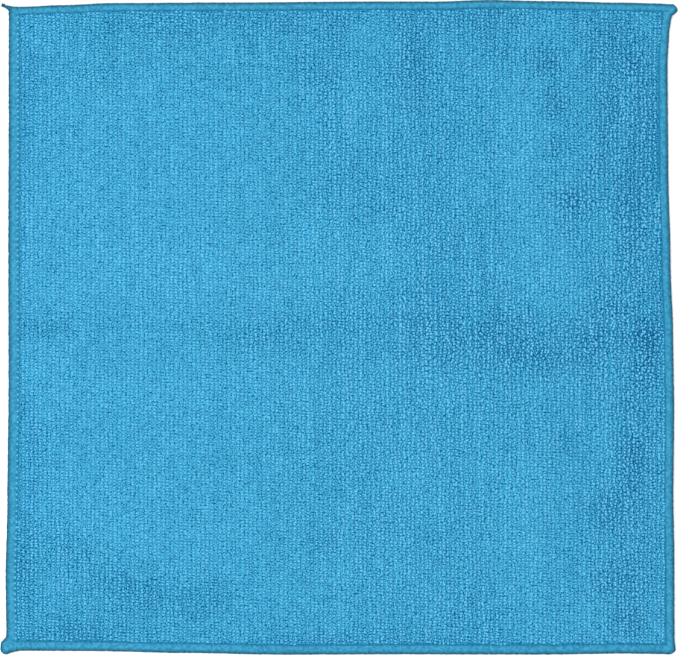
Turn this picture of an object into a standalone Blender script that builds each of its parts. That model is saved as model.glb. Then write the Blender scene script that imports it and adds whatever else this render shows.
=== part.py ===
"""A microfibre cleaning cloth, laid out flat with its face up.

It is one square of two-sided knitted terry. Overlocking rolls its four edges into a low padded rim with a
stitch groove inside it, and the thread runs on a little past each corner. A fold pressed across the middle,
a faint slanting one and some soft swells near the right edge are left from how the cloth was packed.

+X is to the cloth's right, +Y to its top, +Z up. The underside lies on Z = 0, below the footprint's centre.
Sizes are in millimetres, and MM turns them into the scene's metres.
"""

import math

import bmesh
import bpy
from mathutils import Vector

MM = 0.001
NAME = "cloth"
COLLECTION = "microfibre_cloth"

# The cut piece
WIDTH = 350.0
LENGTH = 343.0

# Width of the overlocked rim, from the edge to the needle line, on each side
LEFT_RIM = 5.8
RIGHT_RIM = 4.7
TOP_RIM = 4.2
BOTTOM_RIM = 5.3
PILE_RISE = 1.7  # from the needle line to where the pile stands at full height

# Across the rim: place (0 at the edge, 1 at the needle line, 2 where the pile is full), underside, top
RIM_PROFILE = (
    (0.00, 0.50, 1.70),
    (0.14, 0.10, 2.30),
    (0.42, 0.00, 2.70),
    (0.74, 0.00, 2.50),
    (1.00, 0.00, 1.60),
    (2.00, 0.00, 2.50),
)

# How far each edge runs outside its straight line: place along the edge, distance outwards
LEFT_EDGE = ((-165, 0.8), (-135, 1.2), (-90, 0.3), (-30, -0.3), (50, -0.2), (100, -0.4), (160, -0.4))
RIGHT_EDGE = (
    (-165, 1.4),
    (-120, 1.3),
    (-90, 0.8),
    (-45, 1.2),
    (-5, 0.7),
    (35, -0.7),
    (85, -1.9),
    (140, -2.3),
    (154, -1.6),
    (163, -0.6),
)
TOP_EDGE = (
    (-168, -2.4),
    (-147, -1.6),
    (-120, -0.5),
    (-60, -0.2),
    (20, 0.3),
    (50, 0.3),
    (78, 1.1),
    (110, 0.5),
    (150, -0.3),
    (168, -0.7),
)
BOTTOM_EDGE = (
    (-165, -1.2),
    (-130, -1.0),
    (-80, 0.0),
    (-30, 0.9),
    (30, 0.7),
    (110, 0.8),
    (145, 0.3),
    (168, 0.5),
)

# Thread ends at the corners: side in X and in Y, push outwards in X and in Y, radius of the head that moves
# whole, radius that it pulls on, rounding of the corner
CORNERS = (
    (-1, 1, 4.1, 1.3, 0.0, 4.5, 0.0),
    (1, 1, 3.6, -0.4, 3.4, 7.0, 3.0),
    (-1, -1, 3.2, 2.0, 2.8, 7.5, 3.0),
    (1, -1, 0.7, 0.3, 2.0, 7.0, 3.4),
)

# Pressed folds, as troughs in the face: from X, Y, to X, Y, half of the width, depth
FOLDS = (
    (-170, 2, -60, 1, 7, 0.55),
    (-60, 1, 47, 4, 8, 0.65),
    (47, 4, 100, -11, 10, 0.75),
    (100, -11, 137, -5, 12, 0.70),
    (137, -5, 168, -3, 9, 0.60),
    (-21, 141, 3, 94, 7, 0.30),
    (3, 94, 47, 15, 7, 0.35),
    (68, -27, 84, -85, 8, 0.25),
    (-126, -130, -95, -138, 9, 0.45),
)

# Soft swells that lift the sheet off the surface: centre X and Y, half of the length and of the width,
# turn in degrees, lift
SWELLS = (
    (-88, 34, 74, 25, 0, 1.10),
    (0, 38, 46, 26, 8, 0.85),
    (-72, -30, 88, 24, 0, 0.60),
    (60, -34, 52, 22, -6, 0.55),
    (99, 108, 46, 20, 90, 1.00),
    (102, 40, 34, 23, 90, 1.30),
    (98, -96, 52, 19, 90, 1.15),
    (146, 108, 40, 13, 90, 0.80),
    (144, 46, 26, 14, 90, 0.70),
    (143, -66, 38, 14, 90, 0.75),
    (147, -136, 20, 13, 90, 0.60),
    (-118, 120, 40, 26, 30, 0.45),
    (-34, 132, 30, 16, 90, 0.40),
    (28, 128, 32, 15, 90, 0.45),
    (-128, -104, 34, 20, -14, 0.50),
    (20, -128, 60, 18, 4, 0.40),
)

# Cells of the sheet inside the rim, finer along the middle fold and towards the right: from, to, cells
PANEL_COLUMNS = ((-1.0, 0.45, 17), (0.45, 1.0, 11))
PANEL_ROWS = ((-1.0, -0.15, 10), (-0.15, 0.15, 8), (0.15, 1.0, 10))

COLOUR = (66, 162, 207)  # sRGB, the mean of the pile
ROUGHNESS = 0.95


def clear_scene():
    for thing in list(bpy.data.objects):
        bpy.data.objects.remove(thing, do_unlink=True)


def between(table, place, column=1):
    """The value of a table's column at this place, on soft steps between its rows."""
    if place <= table[0][0]:
        return table[0][column]
    for low, high in zip(table, table[1:]):
        if place <= high[0]:
            share = (place - low[0]) / (high[0] - low[0])
            share = share * share * (3 - 2 * share)
            return low[column] + share * (high[column] - low[column])
    return table[-1][column]


def mound(distance):
    """1 at 0, falling softly to nothing at 1 and beyond."""
    return (1 - distance * distance) ** 2 if distance < 1 else 0.0


def grid_lines(half, low_rim, high_rim, cells):
    """Places of the grid lines across the cloth: those of both rims, and the panel's between them."""
    shares = [row[0] for row in RIM_PROFILE]
    low = [-half + rim_distance(share, low_rim) for share in shares]
    high = [half - rim_distance(share, high_rim) for share in reversed(shares)]
    middle, reach = (low[-1] + high[0]) / 2, (high[0] - low[-1]) / 2
    inner = []
    for start, end, count in cells:
        inner += [middle + reach * (start + (end - start) * i / count) for i in range(count)]
    return low + inner[1:] + high


def rim_distance(share, rim):
    """How far inside the edge a place of the rim's profile lies."""
    return share * rim if share <= 1 else rim + (share - 1) * PILE_RISE


def rim_share(distance, rim):
    """The place of the rim's profile that lies this far inside the edge."""
    return distance / rim if distance <= rim else min(2.0, 1 + (distance - rim) / PILE_RISE)


def rim_place(x, y):
    """The nearest rim's profile place, for a point of the straight-sided cloth."""
    return min(
        rim_share(x + WIDTH / 2, LEFT_RIM),
        rim_share(WIDTH / 2 - x, RIGHT_RIM),
        rim_share(y + LENGTH / 2, BOTTOM_RIM),
        rim_share(LENGTH / 2 - y, TOP_RIM),
    )


def rounded(x, y, side_x, side_y, radius):
    """Draws the square in a corner in to a quarter of a disc."""
    into_x = radius - (WIDTH / 2 - side_x * x)
    into_y = radius - (LENGTH / 2 - side_y * y)
    if into_x <= 0 or into_y <= 0:
        return x, y
    shrink = max(into_x, into_y) / math.hypot(into_x, into_y)
    return x - side_x * into_x * (1 - shrink), y - side_y * into_y * (1 - shrink)


def outline_place(x, y):
    """Where a point of the straight-sided cloth lies on the real one, with its uneven edges and corners."""
    placed_x, placed_y = x, y
    for side_x, side_y, push_x, push_y, head, reach, radius in CORNERS:
        gap = math.hypot(WIDTH / 2 - side_x * x, LENGTH / 2 - side_y * y)
        if radius:
            placed_x, placed_y = rounded(placed_x, placed_y, side_x, side_y, radius)
        pull = mound(max(0.0, gap - head) / (reach - head))
        placed_x += side_x * push_x * pull
        placed_y += side_y * push_y * pull
    across, up = x / WIDTH + 0.5, y / LENGTH + 0.5
    placed_x += across * between(RIGHT_EDGE, y) - (1 - across) * between(LEFT_EDGE, y)
    placed_y += up * between(TOP_EDGE, x) - (1 - up) * between(BOTTOM_EDGE, x)
    return placed_x, placed_y


def fold_depth(x, y):
    """How deep the pressed folds are here. Where two meet, the deeper one counts."""
    depth = 0.0
    for from_x, from_y, to_x, to_y, half_width, full_depth in FOLDS:
        start, run = Vector((from_x, from_y)), Vector((to_x - from_x, to_y - from_y))
        along = (Vector((x, y)) - start).dot(run) / run.length_squared
        nearest = start + run * min(1.0, max(0.0, along))
        depth = max(depth, full_depth * mound((Vector((x, y)) - nearest).length / half_width))
    return depth


def swell_lift(x, y):
    """How far the sheet stands off the surface here."""
    lift = 0.0
    for centre_x, centre_y, half_length, half_width, turn, height in SWELLS:
        angle = math.radians(turn)
        gap_x, gap_y = x - centre_x, y - centre_y
        along = (gap_x * math.cos(angle) + gap_y * math.sin(angle)) / half_length
        aside = (gap_y * math.cos(angle) - gap_x * math.sin(angle)) / half_width
        lift += height * mound(math.hypot(along, aside))
    return lift


def heights(x, y):
    """The underside and the top of the cloth at a point."""
    place = rim_place(x, y)
    on_panel = max(0.0, place - 1)
    lift = swell_lift(x, y) * on_panel
    underside = between(RIM_PROFILE, place, column=1) + lift
    top = between(RIM_PROFILE, place, column=2) + lift - fold_depth(x, y) * on_panel
    return underside, top


def make_sheet():
    """A grid laid on the cloth's outline, then extruded upwards into a sheet of its real thickness."""
    columns = grid_lines(WIDTH / 2, LEFT_RIM, RIGHT_RIM, PANEL_COLUMNS)
    rows = grid_lines(LENGTH / 2, BOTTOM_RIM, TOP_RIM, PANEL_ROWS)
    sheet = bmesh.new()
    top_height = sheet.verts.layers.float.new("top_height")
    bmesh.ops.create_grid(sheet, x_segments=len(columns) - 1, y_segments=len(rows) - 1, size=1)
    for vertex in sheet.verts:
        column = round((vertex.co.x + 1) / 2 * (len(columns) - 1))
        row = round((vertex.co.y + 1) / 2 * (len(rows) - 1))
        x, y = columns[column], rows[row]
        underside, top = heights(x, y)
        vertex.co = Vector((*outline_place(x, y), underside)) * MM
        vertex[top_height] = top * MM
    raised = bmesh.ops.extrude_face_region(sheet, geom=sheet.faces[:])
    for vertex in raised["geom"]:
        if isinstance(vertex, bmesh.types.BMVert):
            vertex.co.z = vertex[top_height]
    bmesh.ops.recalc_face_normals(sheet, faces=sheet.faces[:])
    return sheet


def centre_on_footprint(sheet):
    """Moves the mesh so that the origin is below the middle of its footprint, at its lowest point."""
    low = Vector([min(vertex.co[axis] for vertex in sheet.verts) for axis in range(3)])
    high = Vector([max(vertex.co[axis] for vertex in sheet.verts) for axis in range(3)])
    middle = (low + high) / 2
    bmesh.ops.translate(sheet, verts=sheet.verts[:], vec=(-middle.x, -middle.y, -low.z))


def linear(channel):
    """An sRGB channel from 0 to 255, as Blender's linear value."""
    value = channel / 255
    return value / 12.92 if value <= 0.04045 else ((value + 0.055) / 1.055) ** 2.4


def make_terry():
    """Split-fibre polyester terry: matt, and bright blue."""
    terry = bpy.data.materials.new("microfibre_terry")
    terry.use_nodes = True
    shader = terry.node_tree.nodes["Principled BSDF"]
    shader.inputs["Base Color"].default_value = (*[linear(channel) for channel in COLOUR], 1.0)
    shader.inputs["Roughness"].default_value = ROUGHNESS
    shader.inputs["Metallic"].default_value = 0.0
    return terry


def main():
    clear_scene()
    collection = bpy.data.collections.new(COLLECTION)
    bpy.context.scene.collection.children.link(collection)
    sheet = make_sheet()
    centre_on_footprint(sheet)
    mesh = bpy.data.meshes.new(NAME)
    sheet.to_mesh(mesh)
    sheet.free()
    mesh.materials.append(make_terry())
    mesh.shade_smooth()
    collection.objects.link(bpy.data.objects.new(NAME, mesh))


main()
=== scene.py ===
"""The looks of the microfibre cloth.

They are its knitted ground, the loop pile on both faces and the overlock seam round its edges. Sizes below
are in millimetres unless they say otherwise, and MM turns them into metres. The cloth lies face up: +X is
its right, +Y its top, and the surface that it lies on is Z = 0.
"""

import math
import random

import bmesh
import bpy
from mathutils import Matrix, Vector


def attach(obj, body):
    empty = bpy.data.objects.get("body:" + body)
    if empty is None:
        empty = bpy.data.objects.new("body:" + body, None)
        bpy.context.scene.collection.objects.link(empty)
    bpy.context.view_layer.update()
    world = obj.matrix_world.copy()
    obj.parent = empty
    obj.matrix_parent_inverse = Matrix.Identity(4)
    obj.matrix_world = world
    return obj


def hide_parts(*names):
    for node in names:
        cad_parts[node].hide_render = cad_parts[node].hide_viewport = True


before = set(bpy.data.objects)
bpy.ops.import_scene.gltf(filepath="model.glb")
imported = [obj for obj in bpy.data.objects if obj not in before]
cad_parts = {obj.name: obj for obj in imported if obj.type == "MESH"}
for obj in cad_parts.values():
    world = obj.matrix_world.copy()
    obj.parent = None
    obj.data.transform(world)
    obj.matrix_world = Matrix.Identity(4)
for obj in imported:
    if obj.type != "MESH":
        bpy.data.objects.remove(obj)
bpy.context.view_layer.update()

MM = 0.001

# The cut piece and the width of its rims, from the edge to the needle line, as the solid has them
WIDTH = 350.0
LENGTH = 343.0
LEFT_RIM = 5.8
RIGHT_RIM = 4.7
TOP_RIM = 4.2
BOTTOM_RIM = 5.3
RIMS = {"left": LEFT_RIM, "right": RIGHT_RIM, "top": TOP_RIM, "bottom": BOTTOM_RIM}
PILE_RISE = 1.7  # from the needle line to the panel's full height

# How far each edge runs outside its straight line, as the solid has it: place along the edge, distance out
LEFT_EDGE = ((-165, 0.8), (-135, 1.2), (-90, 0.3), (-30, -0.3), (50, -0.2), (100, -0.4), (160, -0.4))
RIGHT_EDGE = (
    (-165, 1.4),
    (-120, 1.3),
    (-90, 0.8),
    (-45, 1.2),
    (-5, 0.7),
    (35, -0.7),
    (85, -1.9),
    (140, -2.3),
    (154, -1.6),
    (163, -0.6),
)
TOP_EDGE = (
    (-168, -2.4),
    (-147, -1.6),
    (-120, -0.5),
    (-60, -0.2),
    (20, 0.3),
    (50, 0.3),
    (78, 1.1),
    (110, 0.5),
    (150, -0.3),
    (168, -0.7),
)
BOTTOM_EDGE = (
    (-165, -1.2),
    (-130, -1.0),
    (-80, 0.0),
    (-30, 0.9),
    (30, 0.7),
    (110, 0.8),
    (145, 0.3),
    (168, 0.5),
)

# Thread ends at the corners: side in X and in Y, push outwards in X and in Y, how far round the corner the
# push in X and in Y is whole, where it ends, rounding of the corner. Those on the left have narrower necks
# than the solid's.
CORNERS = (
    (-1, 1, 4.1, 1.3, 0.0, 0.0, 2.4, 0.0),
    (1, 1, 3.6, -0.4, 3.4, 3.4, 7.0, 3.0),
    (-1, -1, 3.2, 2.0, 4.8, 2.8, 7.5, 3.0),
    (1, -1, 0.7, 0.3, 2.0, 2.0, 7.0, 3.4),
)

# How finely the outline's box is measured, in steps a side
OUTLINE_STEPS = 700

# Pressed folds, as the solid has them: from X, Y, to X, Y, half of the width, depth
FOLDS = (
    (-170, 2, -60, 1, 7, 0.55),
    (-60, 1, 47, 4, 8, 0.65),
    (47, 4, 100, -11, 10, 0.75),
    (100, -11, 137, -5, 12, 0.70),
    (137, -5, 168, -3, 9, 0.60),
    (-21, 141, 3, 94, 7, 0.30),
    (3, 94, 47, 15, 7, 0.35),
    (68, -27, 84, -85, 8, 0.25),
    (-126, -130, -95, -138, 9, 0.45),
)

# Soft swells that lift the sheet, as the solid has them: centre X and Y, half of the length and of the
# width, turn in degrees, lift
SWELLS = (
    (-88, 34, 74, 25, 0, 1.10),
    (0, 38, 46, 26, 8, 0.85),
    (-72, -30, 88, 24, 0, 0.60),
    (60, -34, 52, 22, -6, 0.55),
    (99, 108, 46, 20, 90, 1.00),
    (102, 40, 34, 23, 90, 1.30),
    (98, -96, 52, 19, 90, 1.15),
    (146, 108, 40, 13, 90, 0.80),
    (144, 46, 26, 14, 90, 0.70),
    (143, -66, 38, 14, 90, 0.75),
    (147, -136, 20, 13, 90, 0.60),
    (-118, 120, 40, 26, 30, 0.45),
    (-34, 132, 30, 16, 90, 0.40),
    (28, 128, 32, 15, 90, 0.45),
    (-128, -104, 34, 20, -14, 0.50),
    (20, -128, 60, 18, 4, 0.40),
)

# Across the rim: place (0 at the edge, 1 at the needle line, 2 where the panel has its full height), then
# the knitted ground's underside and top
GROUND_PROFILE = (
    (0.05, 0.95, 1.10),
    (0.10, 0.55, 1.45),
    (0.24, 0.32, 1.90),
    (0.42, 0.28, 2.25),
    (0.58, 0.28, 2.36),
    (0.76, 0.30, 2.20),
    (0.90, 0.42, 1.80),
    (1.00, 0.62, 1.45),
    (1.50, 0.80, 1.50),
    (2.00, 0.85, 1.60),
)
GROUND_CELL = 5.0  # of its grid, inside the rims
LEAST_THICKNESS = 0.35  # of the ground, where a fold presses it

# The knit: a wale is an upright row of loops, and the courses cross them, falling a little to the right
WALE = 2.31
COURSE = 1.607
BACK_COURSE = 1.1 * COURSE
COURSE_FALL = 0.0565  # of the way across

# The pile grows from this place of the rim's profile, and has its full height this much further in
PILE_FROM = 1.15
PILE_GROWS = 0.5
LEAST_PILE = 0.4  # of the full height; lower loops are left out

# The loops of each face: section is half of the flat yarn's thickness and of its width, wander how far a
# loop may stand off the lattice, parting how widely its wale sways, and lean is in radians
FRONT_LOOPS = {
    "Loop span": 1.4 * MM,
    "Loop height": 0.8 * MM,
    "Loop section": (0.45 * MM, 0.70 * MM, 1.0),
    "Loop knots": 4,
    "Wander": (0.5 * MM, 0.45 * MM, 0.0),
    "Parting": 3.0 * MM,
    "Lean": (0.35, 0.35, 0.4),
}
BACK_LOOPS = {
    "Loop span": 1.75 * MM,
    "Loop height": 0.58 * MM,
    "Loop section": (0.25 * MM, 0.72 * MM, 1.0),
    "Loop knots": 3,
    "Wander": (0.35 * MM, 0.5 * MM, 0.0),
    "Parting": 1.2 * MM,
    "Lean": (0.2, 0.2, 1.2),
}

# The kinds of loop: share of the span, bend sideways as a share of half of that, share of the height
LOOP_KINDS = ((1.0, 0.0, 1.0), (0.9, 0.5, 1.1), (0.9, -0.5, 0.9), (0.7, 0.2, 1.2))

# A Bezier arch comes to half of its middle handle's height, and its yarn is the rest
ARCH_HANDLE = 1.3

# The least and the most that chance makes of a loop's span, width and height
LOOP_SIZES = ((0.8, 0.85, 0.6), (1.15, 1.15, 1.2))

# Ruffled loops turn to lie along their wale: the ruffling at which the first turn and at which all have, the
# turn in radians, and the shares of their length and thickness that the loops have there
RUFFLE_TURNS = (0.1, 1.0)
TURN = 1.45
TURNED_LENGTH = 0.8
TURNED_THICKNESS = 1.55

# How far the loops stray and lean. A pair like this holds what counts where the pile lies calm, and what
# comes on top of it where the pile is wholly ruffled.
UNREST = (0.5, 0.9)

# The overlock seam: the length of a stitch along each side
STITCH = {"left": 2.94, "right": 2.75, "top": 2.68, "bottom": 2.63}

# Its threads, step by step: share of the stitch, place across the rim (0 at the edge, 1 at the needle line),
# lift off the ground cloth
OVER_STEPS = (
    (0.00, 0.78, 0.05),
    (0.14, 0.70, 0.07),
    (0.24, 0.45, 0.06),
    (0.36, 0.22, 0.00),
    (0.50, 0.17, -0.15),
    (0.64, 0.22, 0.00),
    (0.76, 0.45, 0.06),
    (0.86, 0.70, 0.07),
)
UNDER_STEPS = (
    (0.10, 0.90, 0.05),
    (0.25, 0.55, 0.08),
    (0.40, 0.24, 0.05),
    (0.60, 0.18, 0.00),
    (0.80, 0.24, 0.05),
    (0.95, 0.55, 0.08),
)
EDGE_STEPS = (
    (0.00, 0.09, -0.20),
    (0.50, 0.10, -0.30),
)
NEEDLE_STEPS = (
    (0.00, 0.98, -0.50),
    (0.25, 0.98, 0.00),
    (0.50, 0.98, 0.15),
    (0.75, 0.98, 0.00),
)
# The needle thread lies loose on the left side, and comes up for a short way in each stitch
LOOSE_NEEDLE_STEPS = (
    (0.00, 0.86, -0.70),
    (0.34, 0.86, -0.42),
    (0.50, 0.86, 0.24),
    (0.66, 0.86, -0.42),
)

# How far a step may stray along the stitch, across the rim and in its lift, in the same units
STRAY_ALONG = 0.04
STRAY_ACROSS = 0.02
STRAY_LIFT = 0.03

# How far short of the corners the threads stop, as shares of the rims that they meet there. The seams along
# the top and the bottom run off past the corners, over the ends of the other two.
RUN_OFF_STOP = 0.25
COVERED_STOP = 0.9
EDGE_STOP = 0.2
NEEDLE_STOP = 1.0

# Half of the width and of the height of each thread's section, and its number of sides
THREAD_SECTIONS = {
    "looper_thread_over": (0.78, 0.14, 4),
    "looper_thread_under": (0.60, 0.22, 3),
    "looper_thread_edge": (0.42, 0.50, 4),
    "needle_thread_tight": (0.40, 0.24, 3),
    "needle_thread_loose": (0.72, 0.36, 6),
    "corner_thread_tail": (0.42, 0.40, 6),
}

# The thread tail at the top left corner, and its knot: place along the tail, half of its length, swelling
TAIL_START = (-172.6, 167.3, 1.4)
TAIL_END = (-177.5, 170.1, 1.0)
TAIL_STRANDS = 3
TAIL_TURNS = 1.6
TAIL_STEPS = 22
TAIL_RADIUS = 0.42
KNOT_PLACE = 0.88
KNOT_LENGTH = 0.16
KNOT_SWELL = 0.7

# Faces of yarn that meet at less than this angle, in radians, look like one round surface
SOFT_ANGLE = 1.6

# A quarter turn about Z, in radians
QUARTER_TURN = (0.0, 0.0, -math.pi / 2)

# How wide the photo is at the height of the cloth, and where its middle lies there
VIEW_WIDTH = 357.6
VIEW_MIDDLE = (0.35, -0.8)
CLOTH_HEIGHT = 2.0
SENSOR_WIDTH = 36.0
LENS = 200.0

# The light comes from all round, and a little more of it from the left. Its place and size are in metres.
ROUND_LIGHT = 1.05
KEY_PLACE = (-0.7, 0.0, 1.3)
KEY_SIZE = 1.4
KEY_WATTS = 13.5

# Half of the board's side, in metres
HALF_FLOOR = 3.0

# Scales of the patterns, per metre
TUFT = 1500.0  # 0.7 mm, coarser than a tuft of split fibres, so that it shows
LOW_LOOP = 1250.0  # 0.8 mm, the low loops between the tall ones
TWIST = 900.0  # 1.1 mm, a turn of the needle thread
CRIMP = 700.0  # 1.4 mm, the crimp of the looper threads
WALE_TONE = 260.0  # 3.8 mm, the width of a wale or two
WALE_PARTING = 200.0  # 5 mm, two wales
BOARD_GRAIN = 40.0  # 25 mm, a faint unevenness of the board

# What the values of a noise pattern mostly lie between
NOISE_RANGE = (0.35, 0.65)

# How little matt cloth and board shine
SPECULAR = 0.05

# The pile yarn's tone is the sum of these: painted shade at the roots, painted highlights on the tops,
# wales, painted light and shade by the place on the cloth, loops and tufts
ROOT_SHADE = (1.15, 1.8)
TOP_HIGHLIGHT = (0.8, 0.6)
TOP_HIGHLIGHT_POWER = 2.5  # well above 1, so that a loop is light at its top only
WALES_LIGHT = (0.8, 1.2)
PLACE_LIGHT = 0.4
LOOP_LIGHT = 0.4
TUFT_LIGHT = 0.6
TONE_RANGE = (-1.5, 1.5)

# The pile yarn's colours over that range, from the darkest to the lightest
PILE_COLOURS = ((0.0, "#003F70"), (0.23, "#006A95"), (0.60, "#49AAD0"), (1.0, "#70B9DD"))

# The painted shade on the ground in the pile's gaps grows with ruffling, and falls with the pile's painted
# light
GAP_SHADE_BY_RUFFLE = 1.1
GAP_SHADE_BY_LIGHT = -0.6

# A low loop's fleck ends this far from its middle and is whole within this far, in cells of its pattern.
# Where no pile stands it is weaker.
FLECK_ENDS = 0.64
FLECK_WHOLE = 0.27
BARE_FLECK = 0.5

# Places on the rim's profile: where the spread looper yarn ends on the ground, where its painted shade grows
# towards the needle that draws it in, and by how much, and where its painted shade grows round the edge
COVER = (1.04, 0.96)
NEEDLE_GROOVE_SHADE = (0.82, 0.98, 0.0, 0.7)
ROUND_EDGE_SHADE = (0.46, -0.08)

# Where the pile is ruffled, so that one sees down between its loops: centre X and Y, half of the length and
# of the width, turn in degrees, strength
RUFFLES = (
    (50, 0, 300, 130, 90, 0.40),
    (160, 40, 210, 50, 90, 0.45),
    (150, -120, 90, 34, 90, 0.35),
    (105, -10, 75, 26, 0, 0.25),
    (145, -6, 36, 24, 90, 0.10),
    (129, 67, 14, 14, 0, 0.30),
    (152, 125, 40, 14, 90, 0.20),
    (-2, 112, 70, 13, 90, 0.15),
    (-45, -5, 45, 12, 0, 0.12),
    (-130, -130, 60, 30, -14, 0.15),
    (-70, 160, 60, 20, 0, 0.12),
)

# Painted shade on the pile (strength above 0), as it leans away, and painted light (below 0): centre X and
# Y, half of the length and of the width, turn in degrees, strength
SHADES = (
    # Left of the middle, along the level fold and under the top edge
    (-46, -6, 45, 9, 0, 0.16),
    (-118, 34, 26, 14, 0, 0.18),
    (-60, 161, 182, 14, 0, 0.24),
    (-60, 142, 150, 26, 0, 0.14),
    (-121, 156, 20, 10, 90, 0.21),
    (-124, 130, 20, 13, 0, 0.24),
    (-142, 104, 15, 11, 90, 0.22),
    (-146, 34, 14, 9, 0, 0.20),
    (-18, 137, 13, 10, -60, 0.20),
    (-3, 124, 31, 8, -65, 0.21),
    (-62, 149, 20, 14, 90, -0.30),
    (-90, 32, 56, 29, 0, -0.28),
    (-30, 40, 34, 38, 0, -0.24),
    (-172, 60, 125, 12, 90, 0.22),
    (-166, 130, 50, 22, 90, 0.22),
    (-158, -2, 28, 8, 0, 0.28),
    (-166, -44, 12, 9, 90, 0.25),
    # Beside the slanted fold
    (30, 41, 26, 9, -60, -0.44),
    (38, 142, 42, 19, -70, 0.30),
    (6, 114, 36, 13, 90, -0.24),
    (20, 154, 20, 16, 0, -0.36),
    (28, 125, 20, 10, -60, 0.15),
    # Lower left and along the bottom
    (-110, -138, 34, 11, -14, 0.12),
    (-72, -143, 25, 14, 0, 0.18),
    (-147, -53, 10, 10, 0, 0.21),
    (-162, -68, 36, 14, 90, 0.32),
    (-167, -125, 55, 15, 90, 0.42),
    (-142, -114, 26, 20, -30, 0.25),
    (-100, -146, 80, 30, 0, 0.22),
    (-145, -166, 44, 20, 0, 0.45),
    (-10, -112, 13, 8, 0, 0.18),
    (0, -170, 180, 17, 0, 0.28),
    (72, -150, 26, 16, 0, 0.15),
    # The level fold from the middle to the right edge
    (44, 4, 11, 8, 0, 0.20),
    (52, -13, 11, 10, 90, 0.15),
    (102, -16, 39, 13, 0, 0.12),
    (90, 5, 26, 9, 0, 0.12),
    (132, -8, 14, 8, 90, 0.15),
    (145, -17, 17, 10, 90, -0.30),
    (112, -8, 24, 8, 0, -0.24),
    (116, 12, 16, 9, 0, -0.25),
    (140, 10, 18, 8, 0, 0.30),
    (163, -4, 16, 11, 90, 0.42),
    (161, -22, 16, 9, 90, 0.45),
    # The band of upright dents above it
    (111, 139, 14, 12, 90, 0.55),
    (114, 117, 14, 10, 90, 0.45),
    (115, 93, 13, 11, 90, 0.30),
    (122, 67, 14, 10, 0, 0.40),
    (136, 141, 12, 10, 90, 0.40),
    (157, 141, 14, 11, 90, 0.40),
    (143, 112, 38, 13, 90, 0.38),
    (135, 83, 12, 9, 90, 0.25),
    (153, 60, 48, 13, 90, 0.25),
    (108, 50, 10, 9, 90, 0.25),
    (164, 106, 60, 11, 90, 0.30),
    (120, 126, 22, 12, 90, 0.15),
    (140, 155, 30, 16, 0, 0.35),
    (80, 162, 40, 14, 0, 0.25),
    (88, 146, 18, 12, 0, 0.25),
    # The same band below it
    (118, -58, 11, 13, 0, 0.20),
    (152, -50, 50, 14, 90, 0.20),
    (155, -70, 22, 19, 90, 0.25),
    (140, -96, 20, 14, 20, 0.30),
    (144, -134, 20, 14, 10, 0.35),
    (151, -154, 14, 14, 90, 0.39),
    (98, -105, 50, 18, 90, -0.36),
    (48, -83, 20, 19, 90, -0.20),
    (18, -28, 30, 14, 70, -0.15),
    (35, -70, 62, 36, 90, -0.14),
    (76, -72, 36, 17, 90, -0.24),
    (80, -117, 17, 12, 90, -0.20),
    (21, 22, 56, 15, 90, -0.24),
    (71, 78, 30, 16, 90, -0.22),
    (106, -33, 14, 13, 90, -0.10),
    (98, 78, 60, 18, 90, -0.12),
    (112, 30, 21, 21, 90, -0.24),
)

# The needle line presses the pile beside it down, and the pile there gets painted shade: how far inside the
# edge that starts, in X and in Y, how far in it reaches, and how strong it is
NEEDLE_INSET_X = 5.0
NEEDLE_INSET_Y = 4.7
NEEDLE_SIDE_SHADE_WIDTH = 3.0
NEEDLE_SIDE_SHADE = 0.15

# How much shade and a millimetre of fold ruffle the pile, and how much painted light a millimetre of swell
# and ruffling, and painted shade a millimetre of fold, give it
RUFFLED_BY_SHADE = 0.4
RUFFLED_BY_FOLD = 0.15
LIGHTER_BY_SWELL = 0.25
DARKER_BY_FOLD = 0.15
LIGHTER_BY_RUFFLE = 1.1


def mound(distance):
    """1 at 0, falling softly to nothing at 1 and beyond."""
    return (1 - distance * distance) ** 2 if distance < 1 else 0.0


def between(table, place, column=1):
    """The value of a table's column at this place, on soft steps between its rows."""
    if place <= table[0][0]:
        return table[0][column]
    for low, high in zip(table, table[1:]):
        if place <= high[0]:
            share = (place - low[0]) / (high[0] - low[0])
            share = share * share * (3 - 2 * share)
            return low[column] + share * (high[column] - low[column])
    return table[-1][column]


def patches(table, x, y):
    """The sum of a table's soft oval patches at a point."""
    total = 0.0
    for centre_x, centre_y, half_length, half_width, turn, strength in table:
        angle = math.radians(turn)
        gap_x, gap_y = x - centre_x, y - centre_y
        along = (gap_x * math.cos(angle) + gap_y * math.sin(angle)) / half_length
        aside = (gap_y * math.cos(angle) - gap_x * math.sin(angle)) / half_width
        total += strength * mound(math.hypot(along, aside))
    return total


def fold_depth(x, y):
    """How deep the pressed folds are here. Where two meet, the deeper one counts."""
    depth = 0.0
    for from_x, from_y, to_x, to_y, half_width, full_depth in FOLDS:
        start, run = Vector((from_x, from_y)), Vector((to_x - from_x, to_y - from_y))
        along = (Vector((x, y)) - start).dot(run) / run.length_squared
        nearest = start + run * min(1.0, max(0.0, along))
        depth = max(depth, full_depth * mound((Vector((x, y)) - nearest).length / half_width))
    return depth


def rim_distance(share, rim):
    """How far inside the edge a place of the rim's profile lies."""
    return share * rim if share <= 1 else rim + (share - 1) * PILE_RISE


def rim_share(distance, rim):
    """The place of the rim's profile that lies this far inside the edge."""
    return distance / rim if distance <= rim else min(2.0, 1 + (distance - rim) / PILE_RISE)


def rim_place(x, y):
    """The nearest rim's profile place, for a point of the straight-sided cloth."""
    return min(
        rim_share(x + WIDTH / 2, LEFT_RIM),
        rim_share(WIDTH / 2 - x, RIGHT_RIM),
        rim_share(y + LENGTH / 2, BOTTOM_RIM),
        rim_share(LENGTH / 2 - y, TOP_RIM),
    )


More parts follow.
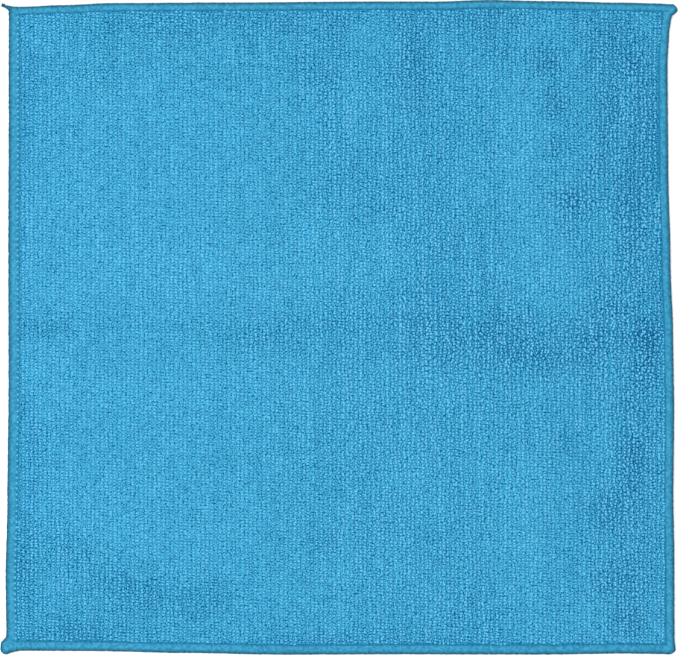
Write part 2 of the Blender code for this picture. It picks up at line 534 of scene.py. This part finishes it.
def rounded(x, y, side_x, side_y, radius):
    """Draws the square in a corner in to a quarter of a disc."""
    into_x = radius - (WIDTH / 2 - side_x * x)
    into_y = radius - (LENGTH / 2 - side_y * y)
    if into_x <= 0 or into_y <= 0:
        return x, y
    shrink = max(into_x, into_y) / math.hypot(into_x, into_y)
    return x - side_x * into_x * (1 - shrink), y - side_y * into_y * (1 - shrink)


def outline_place(x, y):
    """Where a point of the straight-sided cloth lies on the real one, with its uneven edges and corners."""
    placed_x, placed_y = x, y
    for side_x, side_y, push_x, push_y, head_x, head_y, reach, radius in CORNERS:
        gap = math.hypot(WIDTH / 2 - side_x * x, LENGTH / 2 - side_y * y)
        if radius:
            placed_x, placed_y = rounded(placed_x, placed_y, side_x, side_y, radius)
        placed_x += side_x * push_x * mound(max(0.0, gap - head_x) / (reach - head_x))
        placed_y += side_y * push_y * mound(max(0.0, gap - head_y) / (reach - head_y))
    across, up = x / WIDTH + 0.5, y / LENGTH + 0.5
    placed_x += across * between(RIGHT_EDGE, y) - (1 - across) * between(LEFT_EDGE, y)
    placed_y += up * between(TOP_EDGE, x) - (1 - up) * between(BOTTOM_EDGE, x)
    return placed_x, placed_y


def footprint_middle():
    """The middle of the outline's box, which the solid has at its origin."""
    steps = [i / OUTLINE_STEPS for i in range(OUTLINE_STEPS + 1)]
    rim = [outline_place((u - 0.5) * WIDTH, side * LENGTH / 2) for u in steps for side in (-1, 1)]
    rim += [outline_place(side * WIDTH / 2, (u - 0.5) * LENGTH) for u in steps for side in (-1, 1)]
    xs, ys = zip(*rim)
    return (min(xs) + max(xs)) / 2, (min(ys) + max(ys)) / 2


MIDDLE = footprint_middle()


def ground_heights(x, y):
    """The knitted ground's underside and top at a point of the straight-sided cloth."""
    place = rim_place(x, y)
    on_panel = max(0.0, place - 1)
    lift = patches(SWELLS, x, y) * on_panel
    underside = between(GROUND_PROFILE, place, column=1) + lift
    top = between(GROUND_PROFILE, place, column=2) + lift - fold_depth(x, y) * on_panel
    return underside, max(top, underside + LEAST_THICKNESS)


def pile_state(x, y):
    """How the pile is at a point: how far it stands up, how ruffled it is, and its painted light and shade.
    """
    inside = min(WIDTH / 2 - abs(x) - NEEDLE_INSET_X, LENGTH / 2 - abs(y) - NEEDLE_INSET_Y)
    stands = min(1, max(0, (rim_place(x, y) - PILE_FROM) / PILE_GROWS))
    shade = patches(SHADES, x, y)
    fold = fold_depth(x, y)
    ruffle = min(1, patches(RUFFLES, x, y) + RUFFLED_BY_SHADE * max(0, shade) + RUFFLED_BY_FOLD * fold)
    # Painted light on swells and ruffled pile, painted shade in folds, under the shades and by the needle
    # line
    light = LIGHTER_BY_SWELL * patches(SWELLS, x, y) - DARKER_BY_FOLD * fold - shade
    light += LIGHTER_BY_RUFFLE * ruffle
    light -= NEEDLE_SIDE_SHADE * mound(max(0, inside) / NEEDLE_SIDE_SHADE_WIDTH)
    return stands, ruffle, light


def at(x, y, z):
    """A point of the straight-sided cloth, in the scene."""
    placed_x, placed_y = outline_place(x, y)
    return Vector((placed_x - MIDDLE[0], placed_y - MIDDLE[1], z)) * MM


def grid_lines(half, low_rim, high_rim):
    """Places of the grid lines across the cloth: those of both rims, and even ones on the panel."""
    shares = [row[0] for row in GROUND_PROFILE]
    low = [-half + rim_distance(share, low_rim) for share in shares]
    high = [half - rim_distance(share, high_rim) for share in reversed(shares)]
    cells = round((high[0] - low[-1]) / GROUND_CELL)
    return low + [low[-1] + (high[0] - low[-1]) * i / cells for i in range(1, cells)] + high


def add(tree, kind, *inputs, **settings):
    """Adds a node. Its live inputs take, in their order, values, nodes (their first live output) or outputs.

    None leaves an input as it is.
    """
    new = tree.nodes.new(kind)
    for name, value in settings.items():
        setattr(new, name, value)
    live = [socket for socket in new.inputs if socket.enabled]
    for socket, value in zip(live, inputs):
        if isinstance(value, bpy.types.Node):
            value = next(output for output in value.outputs if output.enabled)
        if isinstance(value, bpy.types.NodeSocket):
            tree.links.new(value, socket)
        elif value is not None:
            socket.default_value = value
    return new


def new_tree(name, **kinds):
    """An empty geometry tree with these inputs. Returns it and the outputs of its input node."""
    tree = bpy.data.node_groups.new(name, "GeometryNodeTree")
    tree.interface.new_socket("Geometry", in_out="OUTPUT", socket_type="NodeSocketGeometry")
    tree.interface.new_socket("Geometry", in_out="INPUT", socket_type="NodeSocketGeometry")
    for key, kind in kinds.items():
        tree.interface.new_socket(key, in_out="INPUT", socket_type="NodeSocket" + kind)
    return tree, tree.nodes.new("NodeGroupInput").outputs


def link_object(name, data):
    """Adds an object at the origin to the scene."""
    thing = bpy.data.objects.new(name, data)
    bpy.context.scene.collection.objects.link(thing)
    return thing


def grown(name, tree, source, **values):
    """Runs a tree on an object, which it uses up, and returns what comes out as a plain mesh object."""
    modifier = source.modifiers.new(name, "NODES")
    modifier.node_group = tree
    keys = {item.name: item.identifier for item in tree.interface.items_tree if item.in_out == "INPUT"}
    for key, value in values.items():
        modifier[keys[key]] = value
    bpy.context.view_layer.update()
    mesh = bpy.data.meshes.new_from_object(source.evaluated_get(bpy.context.evaluated_depsgraph_get()))
    mesh.name = name
    bpy.data.objects.remove(source, do_unlink=True)
    return link_object(name, mesh)


def make_ground(material):
    """The knitted ground with its padded rim: a grid on the outline, extruded to its thickness."""
    columns = grid_lines(WIDTH / 2, LEFT_RIM, RIGHT_RIM)
    rows = grid_lines(LENGTH / 2, BOTTOM_RIM, TOP_RIM)
    sheet = bmesh.new()
    top_height = sheet.verts.layers.float.new("top_height")
    pile = sheet.verts.layers.float_vector.new("pile")
    rim = sheet.verts.layers.float.new("rim")
    bmesh.ops.create_grid(sheet, x_segments=len(columns) - 1, y_segments=len(rows) - 1, size=1)
    for vertex in sheet.verts:
        x = columns[round((vertex.co.x + 1) / 2 * (len(columns) - 1))]
        y = rows[round((vertex.co.y + 1) / 2 * (len(rows) - 1))]
        underside, top = ground_heights(x, y)
        vertex.co = at(x, y, underside)
        vertex[top_height] = top * MM
        vertex[pile] = pile_state(x, y)
        vertex[rim] = rim_place(x, y)
    raised = bmesh.ops.extrude_face_region(sheet, geom=sheet.faces[:])
    for vertex in raised["geom"]:
        if isinstance(vertex, bmesh.types.BMVert):
            vertex.co.z = vertex[top_height]
    bmesh.ops.recalc_face_normals(sheet, faces=sheet.faces[:])
    mesh = bpy.data.meshes.new("ground_cloth")
    sheet.to_mesh(mesh)
    sheet.free()
    mesh.shade_smooth()
    mesh.materials.append(material)
    return link_object("ground_cloth", mesh)


def softly(tree):
    """True at the edges where faces meet softly, so that a flattened yarn keeps its two thin sides."""
    angle = add(tree, "GeometryNodeInputMeshEdgeAngle")
    return add(tree, "ShaderNodeMath", angle, SOFT_ANGLE, operation="LESS_THAN")


def by_ruffle(tree, pile, pair):
    """The first value of a pair, and as much of the second on top as the pile is ruffled."""
    return add(tree, "ShaderNodeMath", pile["Y"], pair[1], pair[0], operation="MULTIPLY_ADD")


def pile_tree():
    """Loops of pile yarn on a lattice of wales and courses, stood on one face of the ground cloth."""
    kinds = {"Ground": "Object", "Material": "Material", "Face": "Vector", "Middle": "Vector"}
    kinds |= {"Width": "Float", "Length": "Float", "Wales": "Int", "Courses": "Int", "Course fall": "Float"}
    kinds |= {"Loop span": "Float", "Loop height": "Float", "Loop section": "Vector", "Loop knots": "Int"}
    kinds |= {"Wander": "Vector", "Parting": "Float", "Lean": "Vector", "Flip": "Vector", "Seed": "Int"}
    tree, given = new_tree("terry_pile", **kinds)

    # The lattice, with its courses falling to the right
    rows = given["Wales"], given["Courses"]
    lattice = add(tree, "GeometryNodeMeshGrid", given["Width"], given["Length"], *rows)
    lattice = add(tree, "GeometryNodeTransform", lattice, given["Middle"])
    place = add(tree, "GeometryNodeInputPosition")
    across = add(tree, "ShaderNodeSeparateXYZ", place)
    fall = add(tree, "ShaderNodeMath", across, given["Course fall"], operation="MULTIPLY")
    fall = add(tree, "ShaderNodeCombineXYZ", None, fall)
    lattice = add(tree, "GeometryNodeSetPosition", lattice, None, None, fall)

    # On to the ground cloth, from 50 mm off its face. It says how its pile stands there.
    vectors = {"data_type": "FLOAT_VECTOR"}
    ground = add(tree, "GeometryNodeObjectInfo", given["Ground"]).outputs["Geometry"]
    state = add(tree, "GeometryNodeInputNamedAttribute", "pile", **vectors)
    above = add(tree, "ShaderNodeVectorMath", given["Face"], (0.05,) * 3, place, operation="MULTIPLY_ADD")
    towards = add(tree, "ShaderNodeVectorMath", given["Face"], -1.0, operation="SCALE")
    ray = add(tree, "GeometryNodeRaycast", ground, state, above, towards, 1.0, **vectors).outputs
    stored = None, "pile", ray["Attribute"]
    points = add(tree, "GeometryNodeStoreNamedAttribute", lattice, *stored, domain="POINT", **vectors)
    points = add(tree, "GeometryNodeSetPosition", points, None, ray["Hit Position"])
    pile = add(tree, "ShaderNodeSeparateXYZ", state).outputs
    bare = add(tree, "ShaderNodeMath", pile["X"], LEAST_PILE, operation="LESS_THAN")
    points = add(tree, "GeometryNodeDeleteGeometry", points, bare, domain="POINT")

    # Off the lattice a little, and the wales draw together and part, all more so where the pile is ruffled
    unrest = by_ruffle(tree, pile, UNREST)
    stray = (-1.0, -1.0, 0.0), (1.0, 1.0, 0.0), None, given["Seed"]
    stray = add(tree, "FunctionNodeRandomValue", *stray, **vectors)
    stray = add(tree, "ShaderNodeVectorMath", stray, given["Wander"], operation="MULTIPLY")
    upright = add(tree, "ShaderNodeVectorMath", place, (1.0, 0.3, 1.0), operation="MULTIPLY")
    parting = add(tree, "ShaderNodeTexNoise", upright, WALE_PARTING, 2.0, noise_dimensions="2D")
    parting = add(tree, "ShaderNodeMath", parting, 0.5, operation="SUBTRACT")
    parting = add(tree, "ShaderNodeMath", parting, given["Parting"], operation="MULTIPLY")
    parting = add(tree, "ShaderNodeCombineXYZ", parting)
    stray = add(tree, "ShaderNodeVectorMath", stray, parting, operation="ADD")
    stray = add(tree, "ShaderNodeVectorMath", stray, unrest, operation="SCALE")
    points = add(tree, "GeometryNodeSetPosition", points, None, None, stray)
    points = add(tree, "GeometryNodeMeshToPoints", points)

    # One loop is an arch of yarn with its legs in the ground, and there are some kinds of it to pick from
    section = add(tree, "GeometryNodeCurvePrimitiveCircle", 3, 1.0)
    section = add(tree, "GeometryNodeTransform", section, None, QUARTER_TURN, given["Loop section"])
    rise = add(tree, "ShaderNodeSeparateXYZ", place).outputs["Z"]
    rise = add(tree, "ShaderNodeMath", rise, given["Loop height"], operation="DIVIDE", use_clamp=True)
    loops = add(tree, "GeometryNodeJoinGeometry")
    for narrow, bend, tall in LOOP_KINDS:
        half = add(tree, "ShaderNodeMath", given["Loop span"], narrow / 2, operation="MULTIPLY")
        back = add(tree, "ShaderNodeMath", half, -1.0, operation="MULTIPLY")
        aside = add(tree, "ShaderNodeMath", half, bend, operation="MULTIPLY")
        top = add(tree, "ShaderNodeMath", given["Loop height"], ARCH_HANDLE * tall, operation="MULTIPLY")
        start = add(tree, "ShaderNodeCombineXYZ", back)
        middle = add(tree, "ShaderNodeCombineXYZ", None, aside, top)
        end = add(tree, "ShaderNodeCombineXYZ", half)
        arch = add(tree, "GeometryNodeCurveQuadraticBezier", 12, start, middle, end)
        arch = add(tree, "GeometryNodeResampleCurve", arch, None, given["Loop knots"])
        loop = add(tree, "GeometryNodeCurveToMesh", arch, section)
        loop = add(tree, "GeometryNodeStoreNamedAttribute", loop, None, "loop_rise", rise, domain="POINT")
        loop = add(tree, "GeometryNodeGeometryToInstance", loop)
        tree.links.new(loop.outputs[0], loops.inputs[0])

    # Leaned and sized by chance. Ruffled loops have turned to lie along their wale, and are rounder.
    lean = add(tree, "ShaderNodeVectorMath", given["Lean"], -1.0, operation="SCALE")
    seed = add(tree, "ShaderNodeMath", given["Seed"], 1.0, operation="ADD")
    lean = add(tree, "FunctionNodeRandomValue", lean, given["Lean"], None, seed, **vectors)
    lean = add(tree, "ShaderNodeVectorMath", lean, unrest, operation="SCALE")
    seed = add(tree, "ShaderNodeMath", given["Seed"], 4.0, operation="ADD")
    turn = add(tree, "FunctionNodeRandomValue", 0.0, 1.0, None, seed, data_type="FLOAT")
    turned = add(tree, "ShaderNodeMapRange", pile["Y"], *RUFFLE_TURNS)
    turn = add(tree, "ShaderNodeMath", turn, turned, operation="LESS_THAN")
    turn = add(tree, "ShaderNodeMath", turn, TURN, operation="MULTIPLY")
    turn = add(tree, "ShaderNodeCombineXYZ", None, None, turn)
    lean = add(tree, "ShaderNodeVectorMath", lean, turn, operation="ADD")
    lean = add(tree, "ShaderNodeVectorMath", lean, given["Flip"], operation="ADD")
    lean = add(tree, "FunctionNodeEulerToRotation", lean)
    seed = add(tree, "ShaderNodeMath", given["Seed"], 2.0, operation="ADD")
    size = add(tree, "FunctionNodeRandomValue", *LOOP_SIZES, None, seed, **vectors)
    long = add(tree, "ShaderNodeMapRange", turned, 0.0, 1.0, 1.0, TURNED_LENGTH)
    thick = add(tree, "ShaderNodeMapRange", turned, 0.0, 1.0, 1.0, TURNED_THICKNESS)
    stands = add(tree, "ShaderNodeCombineXYZ", long, thick, pile["X"])
    size = add(tree, "ShaderNodeVectorMath", size, stands, operation="MULTIPLY")
    last = len(LOOP_KINDS) - 1
    pick = add(tree, "FunctionNodeRandomValue", 0, last, None, given["Seed"], data_type="INT")
    standing = add(tree, "GeometryNodeInstanceOnPoints", points, None, loops, True, pick, lean, size)
    seed = add(tree, "ShaderNodeMath", given["Seed"], 3.0, operation="ADD")
    tone = add(tree, "FunctionNodeRandomValue", 0.0, 1.0, None, seed, data_type="FLOAT")
    stored = None, "loop_tone", tone
    standing = add(tree, "GeometryNodeStoreNamedAttribute", standing, *stored, domain="INSTANCE")
    standing = add(tree, "GeometryNodeRealizeInstances", standing)
    standing = add(tree, "GeometryNodeSetShadeSmooth", standing, None, softly(tree), domain="EDGE")
    standing = add(tree, "GeometryNodeSetMaterial", standing, None, given["Material"])
    add(tree, "NodeGroupOutput", standing)
    return tree


def make_pile(tree, name, ground, material, face, pieces, course, seed, loops):
    """The pile on one face, in pieces side by side."""
    wales = round(WIDTH / WALE / len(pieces))
    courses = round(LENGTH * (1 + COURSE_FALL) / course)
    made = []
    for index, part in enumerate(pieces):
        middle = (index - (len(pieces) - 1) / 2) * wales * WALE
        source = link_object("lattice", bpy.data.meshes.new("lattice"))
        values = {
            "Ground": ground,
            "Material": material,
            "Face": (0.0, 0.0, face),
            "Middle": (middle * MM, 0.0, 0.0),
            "Width": (wales - 1) * WALE * MM,
            "Length": (courses - 1) * course * MM,
            "Wales": wales,
            "Courses": courses,
            "Course fall": -COURSE_FALL,
            "Flip": (0.0 if face > 0 else math.pi, 0.0, 0.0),
            "Seed": seed + 10 * index,
        }
        made.append(grown(name + part, tree, source, **values, **loops))
    return made


def rim_point(side, along, place, face, lift):
    """A point over the rim's top (face 1) or under it (face -1), at one of its profile's places."""
    inset = rim_distance(place, RIMS[side])
    if side in ("left", "right"):
        x, y = WIDTH / 2 - inset, along
    else:
        x, y = along, LENGTH / 2 - inset
    if side == "left":
        x = -x
    if side == "bottom":
        y = -y
    underside, top = ground_heights(x, y)
    return at(x, y, top + lift if face > 0 else underside - lift)


def stitch_route(side, steps, face, seed, stop):
    """A thread's way along a side: the same steps at each stitch, no two of them quite alike.

    It stops short of the corners by this share of the rims that it meets there.
    """
    chance = random.Random(seed)
    if side in ("left", "right"):
        low, high = stop * BOTTOM_RIM - LENGTH / 2, LENGTH / 2 - stop * TOP_RIM
    else:
        low, high = stop * LEFT_RIM - WIDTH / 2, WIDTH / 2 - stop * RIGHT_RIM
    stitches = round((high - low) / STITCH[side])
    route = []
    for stitch in range(stitches):
        for share, place, lift in steps:
            share += chance.uniform(-STRAY_ALONG, STRAY_ALONG)
            place += chance.uniform(-STRAY_ACROSS, STRAY_ACROSS)
            lift += chance.uniform(-STRAY_LIFT, STRAY_LIFT)
            along = low + (high - low) * (stitch + share) / stitches
            route.append(rim_point(side, along, place, face, lift))
    return route


def thread_tree():
    """Lays a flattened thread along each curve, and notes where on the ground cloth's rim it runs."""
    kinds = {"Ground": "Object", "Section": "Vector", "Sides": "Int", "Material": "Material"}
    tree, given = new_tree("laid_thread", **kinds)
    section = add(tree, "GeometryNodeCurvePrimitiveCircle", given["Sides"], 1.0)
    section = add(tree, "GeometryNodeTransform", section, None, QUARTER_TURN, given["Section"])
    route = add(tree, "GeometryNodeSetCurveNormal", given["Geometry"], mode="Z_UP")
    thread = add(tree, "GeometryNodeCurveToMesh", route, section, None, True)
    ground = add(tree, "GeometryNodeObjectInfo", given["Ground"]).outputs["Geometry"]
    rim = add(tree, "GeometryNodeInputNamedAttribute", "rim", data_type="FLOAT")
    rim = add(tree, "GeometryNodeSampleNearestSurface", ground, rim, data_type="FLOAT")
    thread = add(tree, "GeometryNodeStoreNamedAttribute", thread, None, "rim", rim, domain="POINT")
    thread = add(tree, "GeometryNodeSetShadeSmooth", thread, None, softly(tree), domain="EDGE")
    thread = add(tree, "GeometryNodeSetMaterial", thread, None, given["Material"])
    add(tree, "NodeGroupOutput", thread)
    return tree


def lay_threads(name, tree, ground, routes, material):
    """One mesh of all these routes' threads."""
    width, height, sides = THREAD_SECTIONS[name]
    curve = bpy.data.curves.new(name, "CURVE")
    curve.dimensions = "3D"
    for route in routes:
        spline = curve.splines.new("POLY")
        spline.points.add(len(route) - 1)
        for knot, place in zip(spline.points, route):
            knot.co = (*place, 1.0)
    values = {"Ground": ground, "Sides": sides, "Material": material}
    values["Section"] = (height * MM, width * MM, 1.0)
    return grown(name, tree, link_object(name, curve), **values)


def make_overlock(ground, material, needle_material):
    """The overlock seam: looper threads over and under the rim, and the needle thread along its inner side.

    The needle thread is drawn in tightly, but for the left side, where it lies looser and is painted lighter
    as a highlight.
    """
    tree = thread_tree()
    over, under, edge, tight = [], [], [], []
    for seed, side in enumerate(RIMS):
        stop = RUN_OFF_STOP if side in ("top", "bottom") else COVERED_STOP
        over.append(stitch_route(side, OVER_STEPS, 1, seed, stop))
        under.append(stitch_route(side, UNDER_STEPS, -1, seed + 10, stop))
        edge.append(stitch_route(side, EDGE_STEPS, 1, seed + 20, EDGE_STOP))
        if side != "left":
            tight.append(stitch_route(side, NEEDLE_STEPS, 1, seed + 30, NEEDLE_STOP))
    loose = [stitch_route("left", LOOSE_NEEDLE_STEPS, 1, 30, NEEDLE_STOP)]
    return [
        lay_threads("looper_thread_over", tree, ground, over, material),
        lay_threads("looper_thread_under", tree, ground, under, material),
        lay_threads("looper_thread_edge", tree, ground, edge, material),
        lay_threads("needle_thread_tight", tree, ground, tight, material),
        lay_threads("needle_thread_loose", tree, ground, loose, needle_material),
        lay_threads("corner_thread_tail", tree, ground, tail_routes(), material),
    ]


def tail_routes():
    """The thread tail at the top left corner: its strands twist to a small knot."""
    start, end = Vector(TAIL_START) * MM, Vector(TAIL_END) * MM
    along = (end - start).normalized()
    aside = along.orthogonal().normalized()
    routes = []
    for strand in range(TAIL_STRANDS):
        route = []
        for step in range(TAIL_STEPS + 1):
            share = step / TAIL_STEPS
            angle = math.tau * (strand / TAIL_STRANDS + TAIL_TURNS * share)
            out = TAIL_RADIUS * MM * (1.0 + KNOT_SWELL * mound(abs(share - KNOT_PLACE) / KNOT_LENGTH))
            offset = (aside * math.cos(angle) + along.cross(aside) * math.sin(angle)) * out
            route.append(start.lerp(end, share) + offset)
        routes.append(route)
    return routes


def colour(hexcode):
    """An sRGB hex value as Blender's linear colour."""
    channels = [int(hexcode[i : i + 2], 16) / 255 for i in (1, 3, 5)]
    return (*[c / 12.92 if c <= 0.04045 else ((c + 0.055) / 1.055) ** 2.4 for c in channels], 1.0)


def new_material(name, roughness):
    """A matt material. Returns it, its tree and its shader."""
    material = bpy.data.materials.new(name)
    material.use_nodes = True
    shader = material.node_tree.nodes["Principled BSDF"]
    shader.inputs["Roughness"].default_value = roughness
    shader.inputs["Specular IOR Level"].default_value = SPECULAR
    return material, material.node_tree, shader


def looper_colour(tree):
    """Textured overlock yarn, with painted shade where the needle draws it in and round the cloth's edge."""
    place = add(tree, "ShaderNodeTexCoord").outputs["Object"]
    mottle = add(tree, "ShaderNodeTexNoise", place, CRIMP, 2.0, noise_dimensions="3D")
    mottle = add(tree, "ShaderNodeMapRange", mottle, *NOISE_RANGE)
    tones = colour("#29789A"), colour("#3A94B8")
    yarn = add(tree, "ShaderNodeMix", mottle, *tones, data_type="RGBA").outputs[2]
    rim = add(tree, "ShaderNodeAttribute", attribute_name="rim").outputs["Fac"]
    # Painted shade in the groove along the needle line, where the needle draws the yarn in
    needle_groove_shade = add(tree, "ShaderNodeMapRange", rim, *NEEDLE_GROOVE_SHADE)
    yarn = add(tree, "ShaderNodeMix", needle_groove_shade, yarn, colour("#155F86"), data_type="RGBA").outputs[2]
    # Painted shade round the cloth's edge, where the yarn turns down
    low = add(tree, "ShaderNodeMapRange", rim, *ROUND_EDGE_SHADE)
    return add(tree, "ShaderNodeMix", low, yarn, colour("#0F3B4F"), data_type="RGBA").outputs[2]


def pile_yarn():
    """Knitted loops of split polyester and polyamide yarn: matt, painted light on top and painted shade
    between.
    """
    material, tree, shader = new_material("split_microfibre_pile_yarn", 0.9)
    pile = add(tree, "ShaderNodeAttribute", attribute_name="pile").outputs["Vector"]
    pile = add(tree, "ShaderNodeSeparateXYZ", pile).outputs
    rise = add(tree, "ShaderNodeAttribute", attribute_name="loop_rise").outputs["Fac"]
    tone = add(tree, "ShaderNodeAttribute", attribute_name="loop_tone").outputs["Fac"]
    # Painted shade at the roots and painted highlights on the tops, more so where the pile is ruffled
    depth = by_ruffle(tree, pile, ROOT_SHADE)
    roots = add(tree, "ShaderNodeMath", rise, 1.0, operation="SUBTRACT")
    level = add(tree, "ShaderNodeMath", roots, depth, operation="MULTIPLY")
    tops = add(tree, "ShaderNodeMath", rise, TOP_HIGHLIGHT_POWER, operation="POWER")
    painted_highlight = by_ruffle(tree, pile, TOP_HIGHLIGHT)
    level = add(tree, "ShaderNodeMath", tops, painted_highlight, level, operation="MULTIPLY_ADD")
    level = add(tree, "ShaderNodeMath", pile["Z"], PLACE_LIGHT, level, operation="MULTIPLY_ADD")
    # Each loop catches the light in its own way, and so does each tuft of its split fibres
    level = add(tree, "ShaderNodeMath", tone, LOOP_LIGHT, level, operation="MULTIPLY_ADD")
    place = add(tree, "ShaderNodeTexCoord").outputs["Object"]
    tuft = add(tree, "ShaderNodeTexNoise", place, TUFT, 1.0, noise_dimensions="3D")
    tuft = add(tree, "ShaderNodeMapRange", tuft, *NOISE_RANGE)
    level = add(tree, "ShaderNodeMath", tuft, TUFT_LIGHT, level, operation="MULTIPLY_ADD")
    # Along a wale the loops lean alike, which draws fine upright lines
    wales = add(tree, "ShaderNodeVectorMath", place, (1.0, 0.1, 1.0), operation="MULTIPLY")
    wales = add(tree, "ShaderNodeTexNoise", wales, WALE_TONE, 1.0, noise_dimensions="3D")
    wales = add(tree, "ShaderNodeMath", wales, 0.5, operation="SUBTRACT")
    lines = by_ruffle(tree, pile, WALES_LIGHT)
    level = add(tree, "ShaderNodeMath", wales, lines, level, operation="MULTIPLY_ADD")
    level = add(tree, "ShaderNodeMapRange", level, *TONE_RANGE)
    ramp = add(tree, "ShaderNodeValToRGB", level)
    stops = ramp.color_ramp.elements
    for spot, _ in PILE_COLOURS[1:-1]:
        stops.new(spot)
    for stop, (_, hexcode) in zip(stops, PILE_COLOURS):
        stop.color = colour(hexcode)
    tree.links.new(ramp.outputs["Color"], shader.inputs["Base Color"])
    return material


def knitted_ground():
    """Filament polyester knit with painted shade between the loops, and the looper threads' spread yarn over
    its rim.
    """
    material, tree, shader = new_material("knitted_polyester_ground", 0.9)
    pile = add(tree, "ShaderNodeAttribute", attribute_name="pile").outputs["Vector"]
    pile = add(tree, "ShaderNodeSeparateXYZ", pile).outputs
    # Painted shade in the pile's gaps, deeper where the pile is ruffled
    gap_shade = add(tree, "ShaderNodeMath", pile["Y"], GAP_SHADE_BY_RUFFLE, operation="MULTIPLY")
    gap_shade = add(tree, "ShaderNodeMath", pile["Z"], GAP_SHADE_BY_LIGHT, gap_shade, operation="MULTIPLY_ADD")
    gap_shade = add(tree, "ShaderNodeMath", gap_shade, pile["X"], operation="MULTIPLY", use_clamp=True)
    gap = add(tree, "ShaderNodeMix", gap_shade, colour("#00628D"), colour("#00306D"), data_type="RGBA").outputs[2]
    # Low loops show between the tall ones as small round flecks
    place = add(tree, "ShaderNodeTexCoord").outputs["Object"]
    low = add(tree, "ShaderNodeTexVoronoi", place, LOW_LOOP, voronoi_dimensions="2D")
    low = add(tree, "ShaderNodeMapRange", low, FLECK_ENDS, FLECK_WHOLE, clamp=False)
    low = add(tree, "ShaderNodeMath", gap_shade, -1.0, low, operation="MULTIPLY_ADD", use_clamp=True)
    strength = add(tree, "ShaderNodeMapRange", pile["X"], 0.0, 1.0, BARE_FLECK, 1.0)
    low = add(tree, "ShaderNodeMath", low, strength, operation="MULTIPLY")
    knit = add(tree, "ShaderNodeMix", low, gap, colour("#47A9CF"), data_type="RGBA").outputs[2]
    rim = add(tree, "ShaderNodeAttribute", attribute_name="rim").outputs["Fac"]
    cover = add(tree, "ShaderNodeMapRange", rim, *COVER)
    base = add(tree, "ShaderNodeMix", cover, knit, looper_colour(tree), data_type="RGBA")
    tree.links.new(base.outputs[2], shader.inputs["Base Color"])
    return material


def looper_yarn():
    """Textured polyester overlock thread, a little greener than the pile."""
    material, tree, shader = new_material("textured_polyester_overlock_thread", 0.75)
    tree.links.new(looper_colour(tree), shader.inputs["Base Color"])
    return material


def needle_yarn():
    """Spun polyester needle thread, painted lighter than the loopers' as a highlight where it catches the
    light.
    """
    material, tree, shader = new_material("spun_polyester_needle_thread", 0.75)
    place = add(tree, "ShaderNodeTexCoord").outputs["Object"]
    mottle = add(tree, "ShaderNodeTexNoise", place, TWIST, 2.0, noise_dimensions="3D")
    base = add(tree, "ShaderNodeMix", mottle, colour("#56B0D4"), colour("#70C5E2"), data_type="RGBA")
    tree.links.new(base.outputs[2], shader.inputs["Base Color"])
    return material


def studio_floor():
    """Matt white board, nearly blown out by the light as in the photo."""
    material, tree, shader = new_material("matt_white_board", 0.8)
    place = add(tree, "ShaderNodeTexCoord").outputs["Object"]
    grain = add(tree, "ShaderNodeTexNoise", place, BOARD_GRAIN, 3.0, noise_dimensions="3D")
    base = add(tree, "ShaderNodeMix", grain, colour("#FAFAFA"), colour("#FEFEFE"), data_type="RGBA")
    tree.links.new(base.outputs[2], shader.inputs["Base Color"])
    return material


def make_floor(material):
    """The board that the cloth lies on."""
    mesh = bpy.data.meshes.new("floor")
    shape = bmesh.new()
    bmesh.ops.create_grid(shape, x_segments=1, y_segments=1, size=HALF_FLOOR)
    shape.to_mesh(mesh)
    shape.free()
    mesh.materials.append(material)
    floor = link_object("floor", mesh)


def make_camera():
    """Straight above the cloth, as the photo is taken. Its long lens keeps the edges upright."""
    data = bpy.data.cameras.new("camera")
    data.sensor_width = SENSOR_WIDTH
    data.lens = LENS
    camera = link_object("camera", data)
    height = VIEW_WIDTH * LENS / SENSOR_WIDTH + CLOTH_HEIGHT
    camera.location = Vector((*VIEW_MIDDLE, height)) * MM
    bpy.context.scene.camera = camera


def make_light(name, place, size, power):
    """A square soft light that faces the cloth."""
    lamp = bpy.data.lights.new(name, "AREA")
    lamp.shape = "SQUARE"
    lamp.size = size
    lamp.energy = power
    light = link_object(name, lamp)
    light.location = place
    light.rotation_euler = (-Vector(place)).to_track_quat("-Z", "Y").to_euler()


def make_world(strength):
    """Even white light from all round."""
    world = bpy.data.worlds.new("studio")
    world.use_nodes = True
    world.node_tree.nodes["Background"].inputs["Color"].default_value = (1.0, 1.0, 1.0, 1.0)
    world.node_tree.nodes["Background"].inputs["Strength"].default_value = strength
    bpy.context.scene.world = world


ground = make_ground(knitted_ground())
tree = pile_tree()
yarn = pile_yarn()
front_pieces = ("left", "middle", "right")
back_pieces = ("left", "right")
front = make_pile(tree, "pile_front_", ground, yarn, 1.0, front_pieces, COURSE, 100, FRONT_LOOPS)
back = make_pile(tree, "pile_back_", ground, yarn, -1.0, back_pieces, BACK_COURSE, 200, BACK_LOOPS)
seam = make_overlock(ground, looper_yarn(), needle_yarn())

make_floor(studio_floor())
make_camera()
make_world(ROUND_LIGHT)
make_light("key", KEY_PLACE, KEY_SIZE, KEY_WATTS)
bpy.context.scene.view_settings.view_transform = "Standard"

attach(ground, "root")
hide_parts("cloth")
for piece in (*front, *back, *seam):
    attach(piece, "root")
